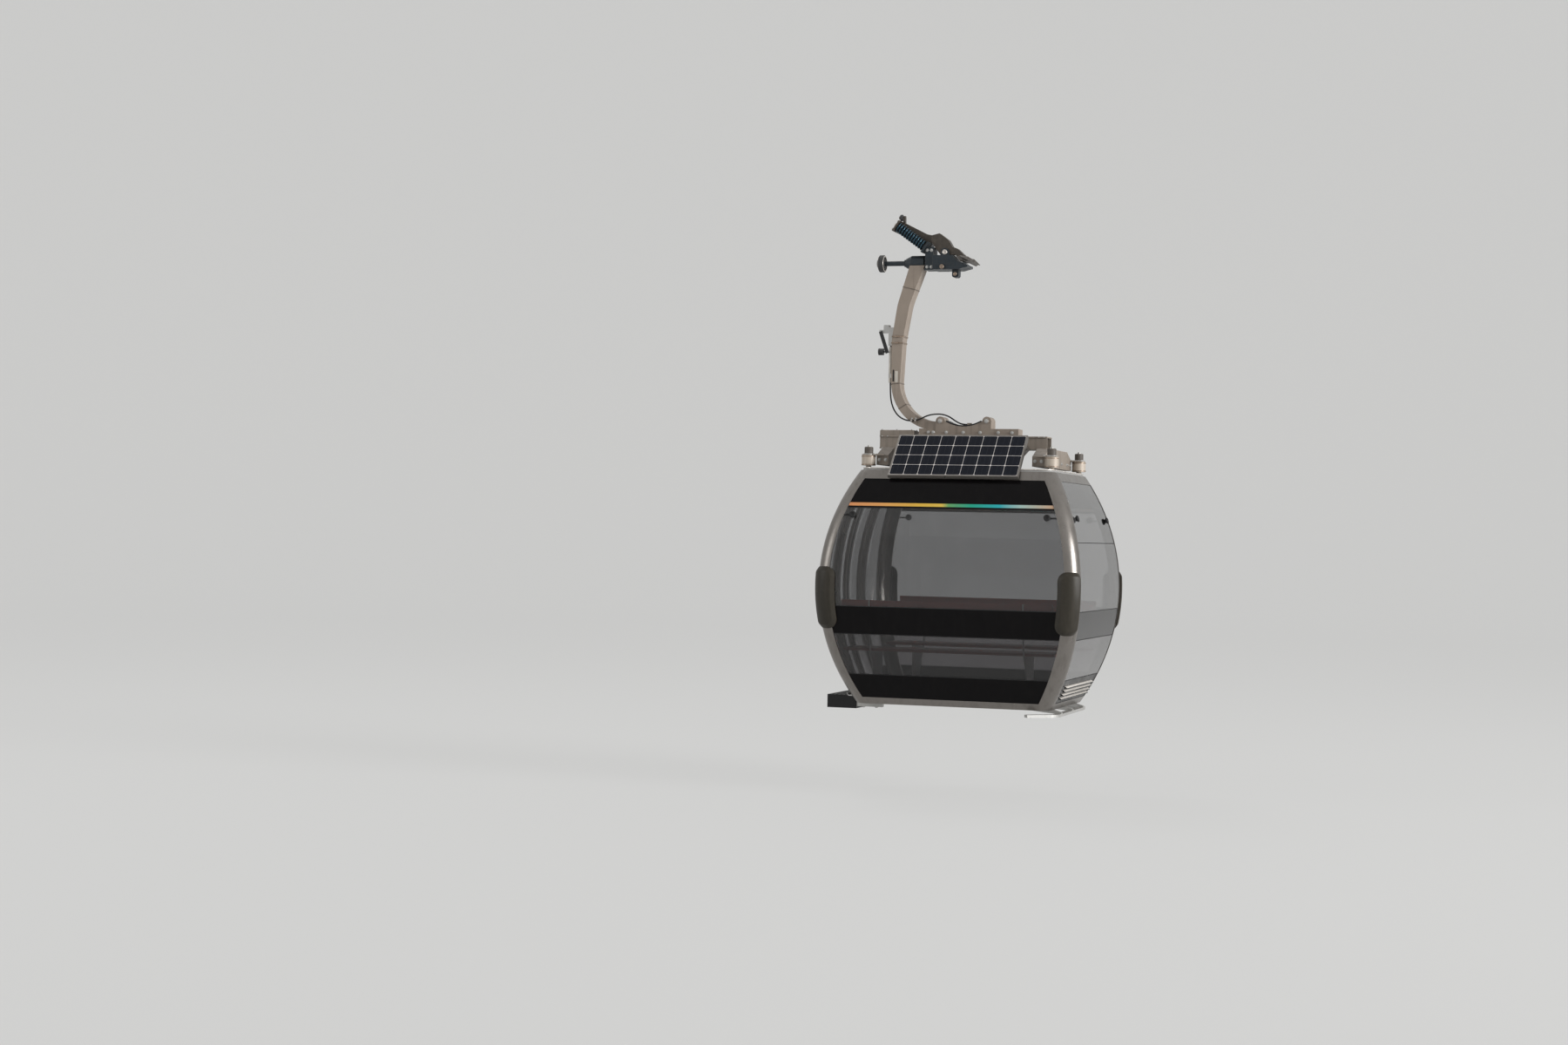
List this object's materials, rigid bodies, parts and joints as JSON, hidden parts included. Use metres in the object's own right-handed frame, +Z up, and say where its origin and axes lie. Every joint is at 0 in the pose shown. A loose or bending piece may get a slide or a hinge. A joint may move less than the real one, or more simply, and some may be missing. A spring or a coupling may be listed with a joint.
{
  "type": "detachable cable car cabin",
  "caption": "Gondola cabin with bowed glass walls, sliding doors and benches, hung by a bow-shaped arm from a spring grip on a haul rope.",
  "frame": {"origin": "middle of the gripped length of rope, on the rope's axis", "axes": "+Y along the rope, +Z up, the doors on the -X side"},
  "size_m": [2.4434, 2.172, 4.579],
  "materials": {
    "grip_steel": "dark oiled steel with bright worn edges",
    "spring_steel": "dark blued spring steel",
    "roller_tread": "matt rubber tread with a bright steel flank",
    "hanger_paint": "light grey paint, dusty",
    "frame_paint": "grey paint, dusty",
    "alloy": "cast alloy, matt",
    "black_rubber": "matt black rubber",
    "post_metal": "pale grey paint",
    "satin_aluminium": "satin anodised, fine grain",
    "black_panel": "gloss black laminate",
    "tinted_glass": "grey tinted acrylic",
    "bumper_plastic": "dark moulded plastic, worn",
    "roof_shell": "grey painted sheet",
    "lining": "light grey lining",
    "floor_sheet": "mill finish sheet",
    "floor_rubber": "studded rubber mat",
    "bench_wood": "red brown stained boards",
    "bracket_steel": "zinc grey",
    "solar_cell": "dark blue cells under glass",
    "step_black": "black powder coat"
  },
  "bodies": {
    "grip": {"grip_body": "grip_steel", "jaw_lever": "grip_steel", "springs": "spring_steel"},
    "running_roller": {"running_roller": "roller_tread"},
    "control_roller": {"control_roller": "roller_tread"},
    "cabin": {"hanger_head": "grip_steel", "hanger_arm": "hanger_paint", "door_control": "alloy", "door_cable": "black_rubber", "cable_clip": "alloy", "foot_beam": "hanger_paint", "main_beam": "frame_paint", "side_beams": "frame_paint", "roof_posts": "post_metal", "post_caps": "black_rubber", "solar_frame": "satin_aluminium", "solar_cells": "solar_cell", "solar_brackets": "satin_aluminium", "corner_pillars": "satin_aluminium", "top_rails": "satin_aluminium", "bottom_rails": "satin_aluminium", "roof_plate": "roof_shell", "ceiling": "lining", "floor": "floor_sheet", "floor_mat": "floor_rubber", "end_headers": "black_panel", "end_windows": "tinted_glass", "end_waists": "black_panel", "end_lower_windows": "tinted_glass", "end_lower_panels": "black_panel", "right_vent": "tinted_glass", "right_window": "tinted_glass", "right_waist": "black_panel", "right_lower_window": "tinted_glass", "louvre_panel": "black_panel", "left_windows": "tinted_glass", "left_panels": "black_panel", "door_jambs": "satin_aluminium", "left_header": "black_panel", "door_track": "alloy", "door_guide": "alloy", "bumpers": "bumper_plastic", "step": "step_black", "step_arms": "bracket_steel", "skid": "bracket_steel", "skid_brackets": "bracket_steel", "seat_boards": "bench_wood", "seat_backs": "bench_wood", "seat_brackets": "bracket_steel"},
    "door_front": {"door_front_frame": "satin_aluminium", "door_front_glass": "tinted_glass", "door_front_seal": "black_rubber"},
    "door_rear": {"door_rear_frame": "satin_aluminium", "door_rear_glass": "tinted_glass", "door_rear_seal": "black_rubber"}
  },
  "joints": [
    {"name": "hanger_swing", "type": "hinge", "parent": "grip", "child": "cabin", "pos_m": [-0.503, 0, 0.008], "axis": [1, 0, 0], "range_deg": [-35, 35]},
    {"name": "running_roller_spin", "type": "hinge", "parent": "grip", "child": "running_roller", "pos_m": [-0.83, 0, 0.008], "axis": [1, 0, 0], "continuous": true},
    {"name": "control_roller_spin", "type": "hinge", "parent": "grip", "child": "control_roller", "pos_m": [-0.65, 0, 0.434], "axis": [1, 0, 0], "continuous": true},
    {"name": "door_front_slide", "type": "slide", "parent": "cabin", "child": "door_front", "axis": [0, 1, 0], "range_m": [0, 0.385]},
    {"name": "door_rear_slide", "type": "slide", "parent": "cabin", "child": "door_rear", "axis": [0, -1, 0], "range_m": [0, 0.385]}
  ],
  "couplings": [
    {"joint": "door_rear_slide", "follows": "door_front_slide", "ratio": 1}
  ]
}
